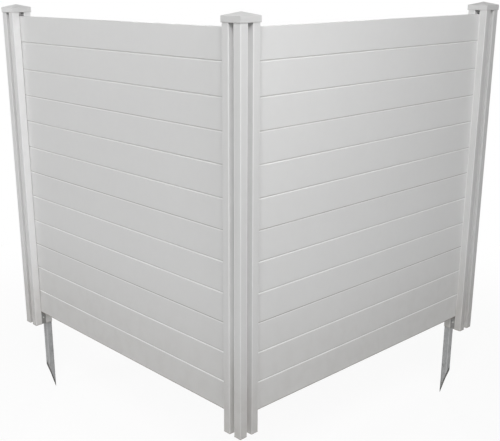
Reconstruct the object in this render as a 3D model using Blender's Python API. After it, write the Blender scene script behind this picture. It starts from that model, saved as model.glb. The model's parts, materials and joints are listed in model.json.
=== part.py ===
"""Bin enclosure: two walls of vinyl planks at a right angle, slotted between three capped posts.

Metres, +Z up. The origin is the middle of the corner post's foot, at ground level. The left wall
runs along -X and the right wall along +Y, so the outside of the corner faces +X and -Y.
"""
import math

import bmesh
import bpy
from mathutils import Matrix, Vector

# Layout
POST_SPACING = 1.227            # centre to centre, corner post to end post
PLANKS_PER_WALL = 4
PLANK_COVER = 0.2978            # height that one plank adds to the wall
TOP_TRIM = 0.0036               # cut from the top plank's upper edge, with its tongue
FOOT_GAP = 0.055                # ground to the lowest plank
CAP_GAP = 0.0134                # top plank to the cap's lower edge

# Fits
TOUCH = 0.0003                  # gap where one piece rests on another
CAP_PLAY = 0.0003               # cap to post, each side
STAKE_PLAY = 0.0003             # stake to chamber wall, each side
PLANK_PLAY = 0.0005             # plank to slot wall, each side
PLANK_END_PLAY = 0.0015         # plank end to slot floor
SCREW_PLAY = 0.0003             # screw to the holes that it fills

# Post extrusion
POST_SIDE = 0.0762
POST_WALL = 0.0014
POST_CORNER_RADIUS = 0.0022
SLOT_WIDTH = 0.0200
SLOT_DEPTH = 0.0220
SLOT_LIP_RADIUS = 0.0012
CHAMBER_RADIUS = 0.0006

# Cap moulding
CAP_SIDE = 0.0802
CAP_RIM = 0.0184
CAP_RISE = 0.0107
CAP_ROOF = 0.0022
CAP_EDGE = 0.0008
CAP_HOLLOW_SHARE = 0.82         # inside pyramid's width as a share of the cap's width
PLUG_LENGTH = 0.024
PLUG_WALL = 0.0020
PLUG_TAPER = 0.0015

# Plank extrusion
PLANK_WALL = 0.0018
PLANK_RIB = 0.0012
PLANK_EDGE = 0.0008
LOWER_BOARD = 0.0979            # plank's lower edge to the middle of the first groove
MIDDLE_BOARD = 0.1010           # first groove to the second
CELLS_PER_BOARD = 2
GROOVE_WIDTH = 0.0060
GROOVE_DEPTH = 0.0024
CELL_CHAMFER = 0.0036
TONGUE_WIDTH = 0.0074
TONGUE_HEIGHT = 0.0080
TONGUE_RADIUS = 0.0010
TONGUE_PLAY = 0.0004            # tongue to groove, each side
TONGUE_TIP_PLAY = 0.0010        # tongue tip to groove floor

# Slot spacer and its screw
SPACER_RECESS = 0.0018          # spacer face behind the post's face
SPACER_EDGE = 0.0008
SCREW_RADIUS = 0.0021
SCREW_HEAD_RADIUS = 0.0040
SCREW_HEAD_HEIGHT = 0.0024
SCREW_HEAD_SINK = 0.0008        # head's top under the spacer's face
SCREW_POINT = 0.0035
SCREW_BITE = 0.0060             # thread length past the slot's floor, point left out
SCREW_DRIVE_RADIUS = 0.0017
SCREW_DRIVE_DEPTH = 0.0013

# Ground stake, a steel angle
STAKE_LENGTH = 0.610
STAKE_REACH = 0.305             # foot of the post to the stake's tip
STAKE_WALL = 0.0030
STAKE_HEEL_RADIUS = 0.0016
STAKE_ROOT_RADIUS = 0.0022
STAKE_TOE_RADIUS = 0.0012
STAKE_CUT_DROP = 0.083          # fall of the slanted cut across the pointed leg
STAKE_CUT_LEAN = 0.026          # fall of the cut across the other leg

# Smoothness, in segments
ARC_STEPS = 3
SMALL_ARC_STEPS = 2
ROUND_SIDES = 16
HEX_SIDES = 6
CUT_OVERRUN = 0.004
SMOOTH_ANGLE = math.radians(32)

# Worked out from the sizes above
HALF_POST = POST_SIDE / 2
HALF_SLOT = SLOT_WIDTH / 2
SLOT_FLOOR = HALF_POST - SLOT_DEPTH
CHAMBER_LOW = HALF_SLOT + POST_WALL
CHAMBER_HIGH = HALF_POST - POST_WALL
CHAMBER_SIDE = CHAMBER_HIGH - CHAMBER_LOW
WALL_TOP = FOOT_GAP + PLANKS_PER_WALL * PLANK_COVER - TOP_TRIM
CAP_LOW = WALL_TOP + CAP_GAP
CAP_CEILING = CAP_LOW + CAP_RIM - CAP_ROOF
POST_HEIGHT = CAP_CEILING - TOUCH
PLANK_THICKNESS = SLOT_WIDTH - 2 * PLANK_PLAY
PLANK_LENGTH = POST_SPACING - 2 * (SLOT_FLOOR + PLANK_END_PLAY)
PLANK_HEIGHT = PLANK_COVER - TOUCH
SPACER_HEIGHT = FOOT_GAP - TOUCH
SPACER_DEPTH = SLOT_DEPTH - SPACER_RECESS - TOUCH
SPACER_THICKNESS = SLOT_WIDTH - 2 * TOUCH
STAKE_LEG = CHAMBER_SIDE - 2 * STAKE_PLAY
PLUG_SIDE = CHAMBER_SIDE - 2 * CAP_PLAY

CORNER = Vector((0, 0, 0))
LEFT = Vector((-POST_SPACING, 0, 0))
RIGHT = Vector((0, POST_SPACING, 0))
TURN_TO_RIGHT_WALL = math.radians(90)
SIDE_TURNS = {"+X": 0, "+Y": math.radians(90), "-X": math.radians(180), "-Y": math.radians(270)}


def material(name, colour, roughness, metallic=0.0):
    """A Principled material with one plain colour."""
    made = bpy.data.materials.new(name)
    made.use_nodes = True
    shader = made.node_tree.nodes["Principled BSDF"]
    shader.inputs["Base Color"].default_value = (*colour, 1.0)
    shader.inputs["Roughness"].default_value = roughness
    shader.inputs["Metallic"].default_value = metallic
    made.diffuse_color = (*colour, 1.0)
    return made


def fillet(corners):
    """Turn (u, v, radius, steps) corners into outline points, with an arc at each rounded corner."""
    points = []
    for index, (u, v, radius, steps) in enumerate(corners):
        here = Vector((u, v))
        if not radius:
            points.append(here)
            continue
        before = (Vector(corners[index - 1][:2]) - here).normalized()
        after = (Vector(corners[(index + 1) % len(corners)][:2]) - here).normalized()
        half_angle = before.angle(after) / 2
        centre = here + (before + after).normalized() * radius / math.sin(half_angle)
        start = here + before * radius / math.tan(half_angle) - centre
        sweep = start.angle_signed(here + after * radius / math.tan(half_angle) - centre)
        for step in range(steps + 1):
            # angle_signed counts clockwise, and a 2D rotation counts the other way
            points.append(centre + Matrix.Rotation(-sweep * step / steps, 2) @ start)
    return points


def sharp(points):
    """The same corner form for an outline with no arcs."""
    return [(u, v, 0, 0) for u, v in points]


def quarter_turns(corners):
    """Repeat one quarter of a four-sided outline all the way round."""
    outline = []
    for quarter in range(4):
        turn = Matrix.Rotation(quarter * math.pi / 2, 2)
        for u, v, radius, steps in corners:
            turned = turn @ Vector((u, v))
            outline.append((turned.x, turned.y, radius, steps))
    return outline


def extruded(outlines, length):
    """A prism along +Z from a filled outer outline and any holes in it."""
    work = bmesh.new()
    edges = []
    for outline in outlines:
        ring = [work.verts.new((point[0], point[1], 0)) for point in outline]
        edges += [work.edges.new((ring[index - 1], ring[index])) for index in range(len(ring))]
    bmesh.ops.triangle_fill(work, edges=edges, use_beauty=True, use_dissolve=False)
    grown = bmesh.ops.extrude_face_region(work, geom=work.faces[:])
    far_end = [item for item in grown["geom"] if isinstance(item, bmesh.types.BMVert)]
    bmesh.ops.translate(work, verts=far_end, vec=(0, 0, length))
    bmesh.ops.recalc_face_normals(work, faces=work.faces[:])
    return work


def finish(work, name):
    """Write the working mesh out as mesh data, smooth where its surface is round."""
    data = bpy.data.meshes.new(name)
    work.to_mesh(data)
    work.free()
    data.shade_smooth()
    data.set_sharp_from_angle(angle=SMOOTH_ANGLE)
    return data


def place(name, data, look, location, turn=0.0):
    """One named piece, turned about the upright and set in its place."""
    piece = bpy.data.objects.new(name, data)
    bpy.context.scene.collection.objects.link(piece)
    piece.location = location
    piece.rotation_euler = (0, 0, turn)
    if not data.materials:
        data.materials.append(look)
    return piece


def boolean(piece, cutter, operation):
    """Join or cut a piece with a hidden guide object."""
    cutter.hide_render = True
    cutter.display_type = "WIRE"
    step = piece.modifiers.new(operation.lower(), "BOOLEAN")
    step.operation = operation
    step.object = cutter
    step.solver = "EXACT"


def baked(piece):
    """The evaluated mesh of an object, so that several pieces can share it."""
    bpy.context.view_layer.update()
    ready = piece.evaluated_get(bpy.context.evaluated_depsgraph_get())
    return bpy.data.meshes.new_from_object(ready)


def post_section():
    """Outer outline with four slots, four corner chambers and the middle chamber."""
    outer = quarter_turns([
        (SLOT_FLOOR, -HALF_SLOT, 0, 0),
        (SLOT_FLOOR, HALF_SLOT, 0, 0),
        (HALF_POST, HALF_SLOT, SLOT_LIP_RADIUS, SMALL_ARC_STEPS),
        (HALF_POST, HALF_POST, POST_CORNER_RADIUS, ARC_STEPS),
        (HALF_SLOT, HALF_POST, SLOT_LIP_RADIUS, SMALL_ARC_STEPS),
    ])
    chamber = [
        (u, v, CHAMBER_RADIUS, 1)
        for u, v in ((CHAMBER_LOW, CHAMBER_LOW), (CHAMBER_HIGH, CHAMBER_LOW),
                     (CHAMBER_HIGH, CHAMBER_HIGH), (CHAMBER_LOW, CHAMBER_HIGH))
    ]
    inner_floor = SLOT_FLOOR - POST_WALL
    middle = quarter_turns([
        (inner_floor, -HALF_SLOT, 0, 0),
        (inner_floor, HALF_SLOT, 0, 0),
        (HALF_SLOT, HALF_SLOT, 0, 0),
    ])
    outlines = [fillet(outer), fillet(middle)]
    for quarter in range(4):
        turn = Matrix.Rotation(quarter * math.pi / 2, 2)
        outlines.append([turn @ point for point in fillet(chamber)])
    return outlines


def screw_hole_cutter(name, location, side):
    """A round cutter through the floor of one slot, where the spacer's screw goes in."""
    work = bmesh.new()
    start = SLOT_FLOOR - POST_WALL - CUT_OVERRUN
    length = POST_WALL + 2 * CUT_OVERRUN
    bmesh.ops.create_cone(
        work, cap_ends=True, segments=ROUND_SIDES,
        radius1=SCREW_RADIUS + SCREW_PLAY, radius2=SCREW_RADIUS + SCREW_PLAY, depth=length,
        matrix=Matrix.Translation((start + length / 2, 0, SPACER_HEIGHT / 2))
        @ Matrix.Rotation(math.pi / 2, 4, "Y"),
    )
    return place(name, finish(work, name), VINYL, location, SIDE_TURNS[side])


def build_post(name, location, panel_sides):
    """One slotted post, with a screw hole in each slot that a wall stands in."""
    section = extruded(post_section(), POST_HEIGHT)
    post = place(name, finish(section, name), VINYL, location)
    for side in panel_sides:
        boolean(post, screw_hole_cutter(f"{name}_hole_{side[1].lower()}", location, side), "DIFFERENCE")
    return post


def square_rings(profile):
    """A closed square form from (half width, height) rings, the first and last closing to a point."""
    work = bmesh.new()
    rings = []
    for half, height in profile:
        if half:
            corners = [(half, half), (-half, half), (-half, -half), (half, -half)]
            rings.append([work.verts.new((x, y, height)) for x, y in corners])
        else:
            rings.append([work.verts.new((0, 0, height))])
    for lower, upper in zip(rings, rings[1:]):
        for index in range(4):
            ring = [lower[index % len(lower)], lower[(index + 1) % 4 % len(lower)],
                    upper[(index + 1) % 4 % len(upper)], upper[index % len(upper)]]
            work.faces.new(list(dict.fromkeys(ring)))
    bmesh.ops.recalc_face_normals(work, faces=work.faces[:])
    return work


def cap_plugs():
    """The four hollow plugs under a cap, one for each corner chamber of the post."""
    work = bmesh.new()
    roof = CAP_RIM - CAP_ROOF
    middle = (CHAMBER_LOW + CHAMBER_HIGH) / 2
    half = PLUG_SIDE / 2
    root = roof + CAP_ROOF / 2
    tip = roof - PLUG_LENGTH
    shoulder = tip + 2 * PLUG_TAPER
    bore = half - PLUG_WALL
    for quarter in range(4):
        tube = square_rings([
            (0, roof), (bore, roof), (bore, tip), (half - PLUG_TAPER / 2, tip), (half, shoulder),
            (half, root), (0, root),
        ])
        bmesh.ops.translate(tube, verts=tube.verts[:], vec=(middle, middle, 0))
        bmesh.ops.rotate(tube, verts=tube.verts[:], matrix=Matrix.Rotation(quarter * math.pi / 2, 3, "Z"))
        part = bpy.data.meshes.new("cap_plug")
        tube.to_mesh(part)
        tube.free()
        work.from_mesh(part)
        bpy.data.meshes.remove(part)
    return work


def cap_mesh():
    """A cap with a rim, a low pyramid roof, a hollow under it and four corner plugs."""
    half = CAP_SIDE / 2
    pocket = HALF_POST + CAP_PLAY
    ceiling = CAP_RIM - CAP_ROOF
    hollow = half * CAP_HOLLOW_SHARE
    hollow_rise = CAP_RISE * CAP_HOLLOW_SHARE
    shell = square_rings([
        (0, CAP_RIM + CAP_RISE), (half - CAP_EDGE, CAP_RIM), (half, CAP_RIM - CAP_EDGE), (half, 0),
        (pocket, 0), (pocket, ceiling), (hollow, ceiling), (0, ceiling + hollow_rise),
    ])
    body = place("cap_shell", finish(shell, "cap_shell"), CAP_VINYL, CORNER)
    plugs = place("cap_plugs", finish(cap_plugs(), "cap_plugs"), CAP_VINYL, CORNER)
    boolean(body, plugs, "UNION")
    whole = baked(body)
    for helper in (body, plugs):
        bpy.data.objects.remove(helper)
    whole.set_sharp_from_angle(angle=SMOOTH_ANGLE)
    return whole


def groove_points(side, height):
    """The three points of a V-groove in one face, going up the face."""
    face = side * PLANK_THICKNESS / 2
    bottom = side * (PLANK_THICKNESS / 2 - GROOVE_DEPTH)
    return [(face, height - GROOVE_WIDTH / 2), (bottom, height), (face, height + GROOVE_WIDTH / 2)]


def plank_section(has_tongue):
    """Plank outline across its thickness and height, with the hollow cells inside it."""
    half = PLANK_THICKNESS / 2
    top = PLANK_HEIGHT if has_tongue else PLANK_HEIGHT - TOP_TRIM
    groove_heights = [LOWER_BOARD, LOWER_BOARD + MIDDLE_BOARD]
    socket = TONGUE_WIDTH / 2 + TONGUE_PLAY
    socket_top = TONGUE_HEIGHT + TONGUE_TIP_PLAY - TOUCH
    outline = sharp([(-socket, 0), (-socket, socket_top), (socket, socket_top), (socket, 0)])
    outline.append((half, 0, PLANK_EDGE, SMALL_ARC_STEPS))
    for height in groove_heights:
        outline += sharp(groove_points(1, height))
    outline.append((half, top, PLANK_EDGE, SMALL_ARC_STEPS))
    if has_tongue:
        tip = top + TONGUE_HEIGHT
        outline += sharp([(TONGUE_WIDTH / 2, top)])
        outline.append((TONGUE_WIDTH / 2, tip, TONGUE_RADIUS, SMALL_ARC_STEPS))
        outline.append((-TONGUE_WIDTH / 2, tip, TONGUE_RADIUS, SMALL_ARC_STEPS))
        outline += sharp([(-TONGUE_WIDTH / 2, top)])
    outline.append((-half, top, PLANK_EDGE, SMALL_ARC_STEPS))
    for height in reversed(groove_heights):
        outline += sharp(reversed(groove_points(-1, height)))
    outline.append((-half, 0, PLANK_EDGE, SMALL_ARC_STEPS))

    # A groove is deeper than the wall, so a web backs each one. More webs share out each board.
    webs = []
    for low, high in zip([0] + groove_heights, groove_heights + [PLANK_COVER]):
        webs += [low + (high - low) * number / CELLS_PER_BOARD for number in range(1, CELLS_PER_BOARD + 1)]
    webs.pop()
    floors = [socket_top + PLANK_WALL] + [web + PLANK_RIB / 2 for web in webs]
    ceilings = [web - PLANK_RIB / 2 for web in webs] + [top - PLANK_WALL]
    side = half - PLANK_WALL
    slope = CELL_CHAMFER
    outlines = [fillet(outline)]
    for low, high in zip(floors, ceilings):
        outlines.append([
            (side, low + slope), (side, high - slope), (side - slope, high), (slope - side, high),
            (-side, high - slope), (-side, low + slope), (slope - side, low), (side - slope, low),
        ])
    return outlines


def plank_mesh(name, has_tongue):
    """A plank that lies along X, its middle at the origin and its lower edge at height zero."""
    work = extruded(plank_section(has_tongue), PLANK_LENGTH)
    bmesh.ops.translate(work, verts=work.verts[:], vec=(0, 0, -PLANK_LENGTH / 2))
    along_x = Matrix(((0, 0, 1), (1, 0, 0), (0, 1, 0)))
    bmesh.ops.transform(work, matrix=along_x.to_4x4(), verts=work.verts[:])
    return finish(work, name)


def spacer_mesh():
    """A block for the slot's foot, its face towards +X, with a stepped hole for its screw."""
    work = bmesh.new()
    bmesh.ops.create_cube(work, size=1)
    bmesh.ops.scale(work, vec=(SPACER_DEPTH, SPACER_THICKNESS, SPACER_HEIGHT), verts=work.verts[:])
    middle = SLOT_FLOOR + TOUCH + SPACER_DEPTH / 2
    bmesh.ops.translate(work, vec=(middle, 0, SPACER_HEIGHT / 2), verts=work.verts[:])
    upright = [edge for edge in work.edges if edge.verts[0].co.z != edge.verts[1].co.z]
    bmesh.ops.bevel(work, geom=upright, offset=SPACER_EDGE, segments=1, affect="EDGES")
    block = place("spacer_block", finish(work, "spacer_block"), SPACER_VINYL, CORNER)
    face = middle + SPACER_DEPTH / 2
    head_seat = face - SCREW_HEAD_SINK - SCREW_HEAD_HEIGHT - TOUCH
    drill = turned_along_x([
        (SCREW_RADIUS + SCREW_PLAY, SLOT_FLOOR - CUT_OVERRUN),
        (SCREW_RADIUS + SCREW_PLAY, head_seat),
        (SCREW_HEAD_RADIUS + SCREW_PLAY, head_seat),
        (SCREW_HEAD_RADIUS + SCREW_PLAY, face + CUT_OVERRUN),
    ], ROUND_SIDES)
    hole = place("spacer_drill", finish(drill, "spacer_drill"), SPACER_VINYL, CORNER)
    boolean(block, hole, "DIFFERENCE")
    whole = baked(block)
    for helper in (block, hole):
        bpy.data.objects.remove(helper)
    whole.set_sharp_from_angle(angle=SMOOTH_ANGLE)
    return whole


def turned_along_x(profile, sides):
    """A round form about the screw's axis from (radius, x) points, closed at both ends."""
    work = bmesh.new()
    rings = []
    for radius, x in profile:
        ring = []
        for number in range(sides if radius else 1):
            angle = 2 * math.pi * number / sides
            ring.append(work.verts.new((x, radius * math.cos(angle),
                                        SPACER_HEIGHT / 2 + radius * math.sin(angle))))
        rings.append(ring)
    for lower, upper in zip(rings, rings[1:]):
        for index in range(sides):
            following = (index + 1) % sides
            ring = [lower[index % len(lower)], lower[following % len(lower)],
                    upper[following % len(upper)], upper[index % len(upper)]]
            work.faces.new(list(dict.fromkeys(ring)))
    for ring in (rings[0], rings[-1]):
        if len(ring) > 1:
            work.faces.new(ring)
    bmesh.ops.recalc_face_normals(work, faces=work.faces[:])
    return work


def screw_mesh():
    """A pan-head screw with its point towards the middle of the post and a hexagon drive."""
    face = SLOT_FLOOR + TOUCH + SPACER_DEPTH
    head_top = face - SCREW_HEAD_SINK
    head_seat = head_top - SCREW_HEAD_HEIGHT
    shank_end = SLOT_FLOOR - POST_WALL - SCREW_BITE
    shaft = turned_along_x([
        (0, shank_end - SCREW_POINT),
        (SCREW_RADIUS, shank_end),
        (SCREW_RADIUS, head_seat),
        (SCREW_HEAD_RADIUS, head_seat),
        (SCREW_HEAD_RADIUS, head_top - SCREW_HEAD_HEIGHT / 2),
        (SCREW_HEAD_RADIUS - SCREW_HEAD_HEIGHT / 2, head_top),
    ], ROUND_SIDES)
    body = place("screw_body", finish(shaft, "screw_body"), SCREW_STEEL, CORNER)
    socket = turned_along_x([
        (SCREW_DRIVE_RADIUS, head_top - SCREW_DRIVE_DEPTH),
        (SCREW_DRIVE_RADIUS, head_top + CUT_OVERRUN),
    ], HEX_SIDES)
    drive = place("screw_drive", finish(socket, "screw_drive"), SCREW_STEEL, CORNER)
    boolean(body, drive, "DIFFERENCE")
    whole = baked(body)
    for helper in (body, drive):
        bpy.data.objects.remove(helper)
    whole.set_sharp_from_angle(angle=SMOOTH_ANGLE)
    return whole


def stake_mesh(name, mirrored):
    """An angle stake in its corner chamber, seen from the post's axis, with its tip cut to a slant.

    The heel lies nearest +X and -Y. The leg along +Y ends in the point, or the leg along -X on
    the mirrored stake.
    """
    low = CHAMBER_LOW + STAKE_PLAY
    high = CHAMBER_HIGH - STAKE_PLAY
    inner_x = high - STAKE_WALL
    inner_y = low + STAKE_WALL
    section = fillet([
        (high, low, STAKE_HEEL_RADIUS, ARC_STEPS),
        (high, high, STAKE_HEEL_RADIUS, SMALL_ARC_STEPS),
        (inner_x, high, STAKE_TOE_RADIUS, SMALL_ARC_STEPS),
        (inner_x, inner_y, STAKE_ROOT_RADIUS, ARC_STEPS),
        (low, inner_y, STAKE_TOE_RADIUS, SMALL_ARC_STEPS),
        (low, low, 0, 0),
    ])
    work = extruded([section], STAKE_LENGTH)
    bmesh.ops.translate(work, verts=work.verts[:], vec=(0, 0, -STAKE_REACH))
    heel_height = -STAKE_REACH + STAKE_CUT_DROP
    # The cut is the plane through the tip, the heel and the other leg's free edge.
    down_the_point = Vector((0, STAKE_LEG, -STAKE_CUT_DROP))
    across = Vector((-STAKE_LEG, 0, STAKE_CUT_LEAN))
    bmesh.ops.bisect_plane(
        work, geom=work.verts[:] + work.edges[:] + work.faces[:],
        plane_co=(high, low, heel_height), plane_no=across.cross(down_the_point), clear_inner=False,
        clear_outer=True,
    )
    rim = [edge for edge in work.edges if len(edge.link_faces) == 1]
    bmesh.ops.holes_fill(work, edges=rim)
    if mirrored:
        swap = Matrix(((0, -1, 0), (-1, 0, 0), (0, 0, 1)))
        bmesh.ops.transform(work, matrix=swap.to_4x4(), verts=work.verts[:])
    bmesh.ops.recalc_face_normals(work, faces=work.faces[:])
    return finish(work, name)


def build_wall(wall, middle, turn):
    """The four planks of one wall, stacked from the spacers up."""
    for number, level in enumerate(("bottom", "lower", "upper", "top")[:PLANKS_PER_WALL]):
        is_last = number == PLANKS_PER_WALL - 1
        data = TOP_PLANK if is_last else PLANK
        height = Vector((0, 0, FOOT_GAP + number * PLANK_COVER))
        place(f"{wall}_plank_{level}", data, VINYL, middle + height, turn)


for leftover in list(bpy.data.objects):
    bpy.data.objects.remove(leftover)

VINYL = material("white_vinyl", (0.80, 0.80, 0.79), 0.42)
CAP_VINYL = material("cap_vinyl", (0.82, 0.82, 0.81), 0.36)
SPACER_VINYL = material("spacer_vinyl", (0.62, 0.62, 0.61), 0.55)
GALVANISED = material("galvanised_steel", (0.36, 0.37, 0.38), 0.48, 0.85)
SCREW_STEEL = material("screw_steel", (0.50, 0.50, 0.50), 0.35, 0.9)

build_post("corner_post", CORNER, ("-X", "+Y"))
build_post("left_post", LEFT, ("+X",))
build_post("right_post", RIGHT, ("-Y",))

CAP = cap_mesh()
for post_name, foot in (("corner", CORNER), ("left", LEFT), ("right", RIGHT)):
    place(f"{post_name}_cap", CAP, CAP_VINYL, foot + Vector((0, 0, CAP_LOW)))

PLANK = plank_mesh("plank", True)
TOP_PLANK = plank_mesh("top_plank", False)
build_wall("left", (CORNER + LEFT) / 2, 0.0)
build_wall("right", (CORNER + RIGHT) / 2, TURN_TO_RIGHT_WALL)

SPACER = spacer_mesh()
SCREW = screw_mesh()
for label, foot, slot_side in (
    ("left_outer", LEFT, "+X"),
    ("left_corner", CORNER, "-X"),
    ("right_corner", CORNER, "+Y"),
    ("right_outer", RIGHT, "-Y"),
):
    place(f"{label}_spacer", SPACER, SPACER_VINYL, foot, SIDE_TURNS[slot_side])
    place(f"{label}_spacer_screw", SCREW, SCREW_STEEL, foot, SIDE_TURNS[slot_side])

place("left_stake", stake_mesh("left_stake", False), GALVANISED, LEFT)
place("right_stake", stake_mesh("right_stake", True), GALVANISED, RIGHT)
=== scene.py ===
# %% [markdown]
# # A corner screen for wheeled bins
#
# Two walls of white vinyl planks meet at a right angle. The planks stand in slots that run down
# three square posts, each post wears a small pyramid cap, and a galvanised angle stake reaches
# down into the soil from each end post.
#
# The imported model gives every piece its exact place. This lesson dresses those pieces: it softens
# their edges, gives each material its own surface, and lights the whole like a studio product
# picture. Lengths are in metres and +Z is up. The origin is the middle of the corner post's foot.

import json
import math

import bmesh
import bpy
from mathutils import Matrix, Vector


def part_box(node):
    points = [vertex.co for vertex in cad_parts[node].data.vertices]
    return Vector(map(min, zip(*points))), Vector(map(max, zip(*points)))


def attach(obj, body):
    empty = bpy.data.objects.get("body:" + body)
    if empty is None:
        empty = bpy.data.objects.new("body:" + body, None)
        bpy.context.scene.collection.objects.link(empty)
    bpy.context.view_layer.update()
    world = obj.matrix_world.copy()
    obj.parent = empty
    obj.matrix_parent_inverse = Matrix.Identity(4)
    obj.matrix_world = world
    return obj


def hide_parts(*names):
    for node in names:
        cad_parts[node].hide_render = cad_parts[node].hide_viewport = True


MM = 1000                                  # in a metre, for what is printed
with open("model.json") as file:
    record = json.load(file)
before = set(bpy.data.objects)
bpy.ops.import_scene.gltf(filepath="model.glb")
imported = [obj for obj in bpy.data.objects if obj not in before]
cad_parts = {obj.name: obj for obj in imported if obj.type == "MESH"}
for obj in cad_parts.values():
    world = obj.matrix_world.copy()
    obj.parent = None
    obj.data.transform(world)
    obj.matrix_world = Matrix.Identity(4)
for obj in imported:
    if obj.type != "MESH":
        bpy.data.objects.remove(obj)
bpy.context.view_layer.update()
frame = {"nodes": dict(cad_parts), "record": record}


print("pieces in the frame:", len(frame["nodes"]))

# %% [markdown]
# ## Sizes that the finishes need
#
# Most sizes can be read from the frame itself, so that nothing has to be typed twice. A box round
# a node gives its lowest and highest corner. A cap's lowest corner is the end of its plugs, so the
# foot of its rim is found among the points that lie furthest out. The two grooves of a plank are
# drawn into its profile, so their heights above the plank's foot are written here.

# %% Read the sizes
GROOVE_LINES = (0.0979, 0.1989)            # above the plank's lower edge
ON_THE_RIM = 0.0001                        # how near to the furthest point counts as the rim


def middle_of(node):
    """The middle of a node's box."""
    low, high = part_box(node)
    return (low + high) / 2


foot_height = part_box("corner_post")[0].z
plank_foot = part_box("left_plank_bottom")[0].z
plank_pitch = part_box("left_plank_lower")[0].z - plank_foot
cap_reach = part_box("corner_cap")[1].x
rim_foot = min(point.co.z for point in frame["nodes"]["corner_cap"].data.vertices
               if math.isclose(point.co.x, cap_reach, abs_tol=ON_THE_RIM))
stake_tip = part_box("left_stake")[0].z
print(f"a plank every {plank_pitch * MM:.1f} mm, the first {plank_foot * MM:.1f} mm up")
print(f"cap rims start at {rim_foot * MM:.1f} mm, and stakes end at {stake_tip * MM:.1f} mm")

# %% [markdown]
# ## The camera
#
# The picture was taken from outside the corner, a little to the right of the diagonal and a bit
# above the caps, looking gently down. Building the camera from its own three directions keeps the
# small roll of the original picture, which Euler angles would hide. The picture is trimmed close
# round the object, so its middle isn't the middle of the lens, and a small shift stands for that.

# %% Place the camera
PICTURE_WIDTH, PICTURE_HEIGHT = 500, 441
SENSOR_WIDTH = 36.0
CAMERA_PLACE = Vector((1.69846, -1.61758, 1.36487))
CAMERA_HEADING = math.radians(47.779)      # from +Y towards -X
CAMERA_TILT = math.radians(-16.919)
CAMERA_ROLL = math.radians(-0.374)
FOCAL_PIXELS = 834.41
LENS_MIDDLE = (221.65, 234.37)             # where the lens axis meets the picture, in pixels

forward = Vector((
    -math.sin(CAMERA_HEADING) * math.cos(CAMERA_TILT),
    math.cos(CAMERA_HEADING) * math.cos(CAMERA_TILT),
    math.sin(CAMERA_TILT),
))
level_right = Vector((math.cos(CAMERA_HEADING), math.sin(CAMERA_HEADING), 0))
level_up = level_right.cross(forward)
right = math.cos(CAMERA_ROLL) * level_right + math.sin(CAMERA_ROLL) * level_up
up = right.cross(forward)

lens = bpy.data.cameras.new("camera")
lens.sensor_width = SENSOR_WIDTH
lens.lens = FOCAL_PIXELS * SENSOR_WIDTH / PICTURE_WIDTH
lens.shift_x = (PICTURE_WIDTH / 2 - LENS_MIDDLE[0]) / PICTURE_WIDTH
lens.shift_y = (LENS_MIDDLE[1] - PICTURE_HEIGHT / 2) / PICTURE_WIDTH
camera = bpy.data.objects.new("camera", lens)
bpy.context.scene.collection.objects.link(camera)
turn = Matrix((right, up, -forward)).transposed()
camera.matrix_world = Matrix.Translation(CAMERA_PLACE) @ turn.to_4x4()
bpy.context.scene.camera = camera
print(f"lens {lens.lens:.1f} mm, shift {lens.shift_x:.3f}, {lens.shift_y:.3f}")

# %% [markdown]
# ## Writing shaders as sums
#
# A procedural finish is mostly arithmetic on patterns. Wiring every Math node by hand hides that,
# so one small class wraps a node's output and lets `+`, `-` and `*` add the nodes. Colours and
# vectors must not go through Math nodes, which would turn them grey, so they have helpers of
# their own that use Mix and Vector Math.

# %% A socket that can be added and multiplied
class Wire:
    """One output of a node. Arithmetic on it adds the Math nodes."""

    def __init__(self, finish, socket):
        self.finish = finish
        self.socket = socket

    def __add__(self, other):
        return self.finish.maths("ADD", self, other)

    def __sub__(self, other):
        return self.finish.maths("SUBTRACT", self, other)

    def __rsub__(self, other):
        return self.finish.maths("SUBTRACT", other, self)

    def __mul__(self, other):
        return self.finish.maths("MULTIPLY", self, other)

    __radd__ = __add__
    __rmul__ = __mul__


print("a", Wire.__name__, "can be added, subtracted and multiplied")

# %% [markdown]
# The next class is the finish itself: a material, or the world, while its nodes are being laid
# out. One method adds any kind of node, so no finish below repeats the lines that make and link
# one. The small helpers after it name the few patterns that every finish here is made of. A Mix
# node has its colours on the sockets numbered below, because each kind of value has its own.

# %% A finish: one material and the nodes in it
MIX_SHARE, MIX_FIRST, MIX_SECOND = 0, 6, 7
MIX_COLOUR = 2                             # the output that carries a colour


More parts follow.
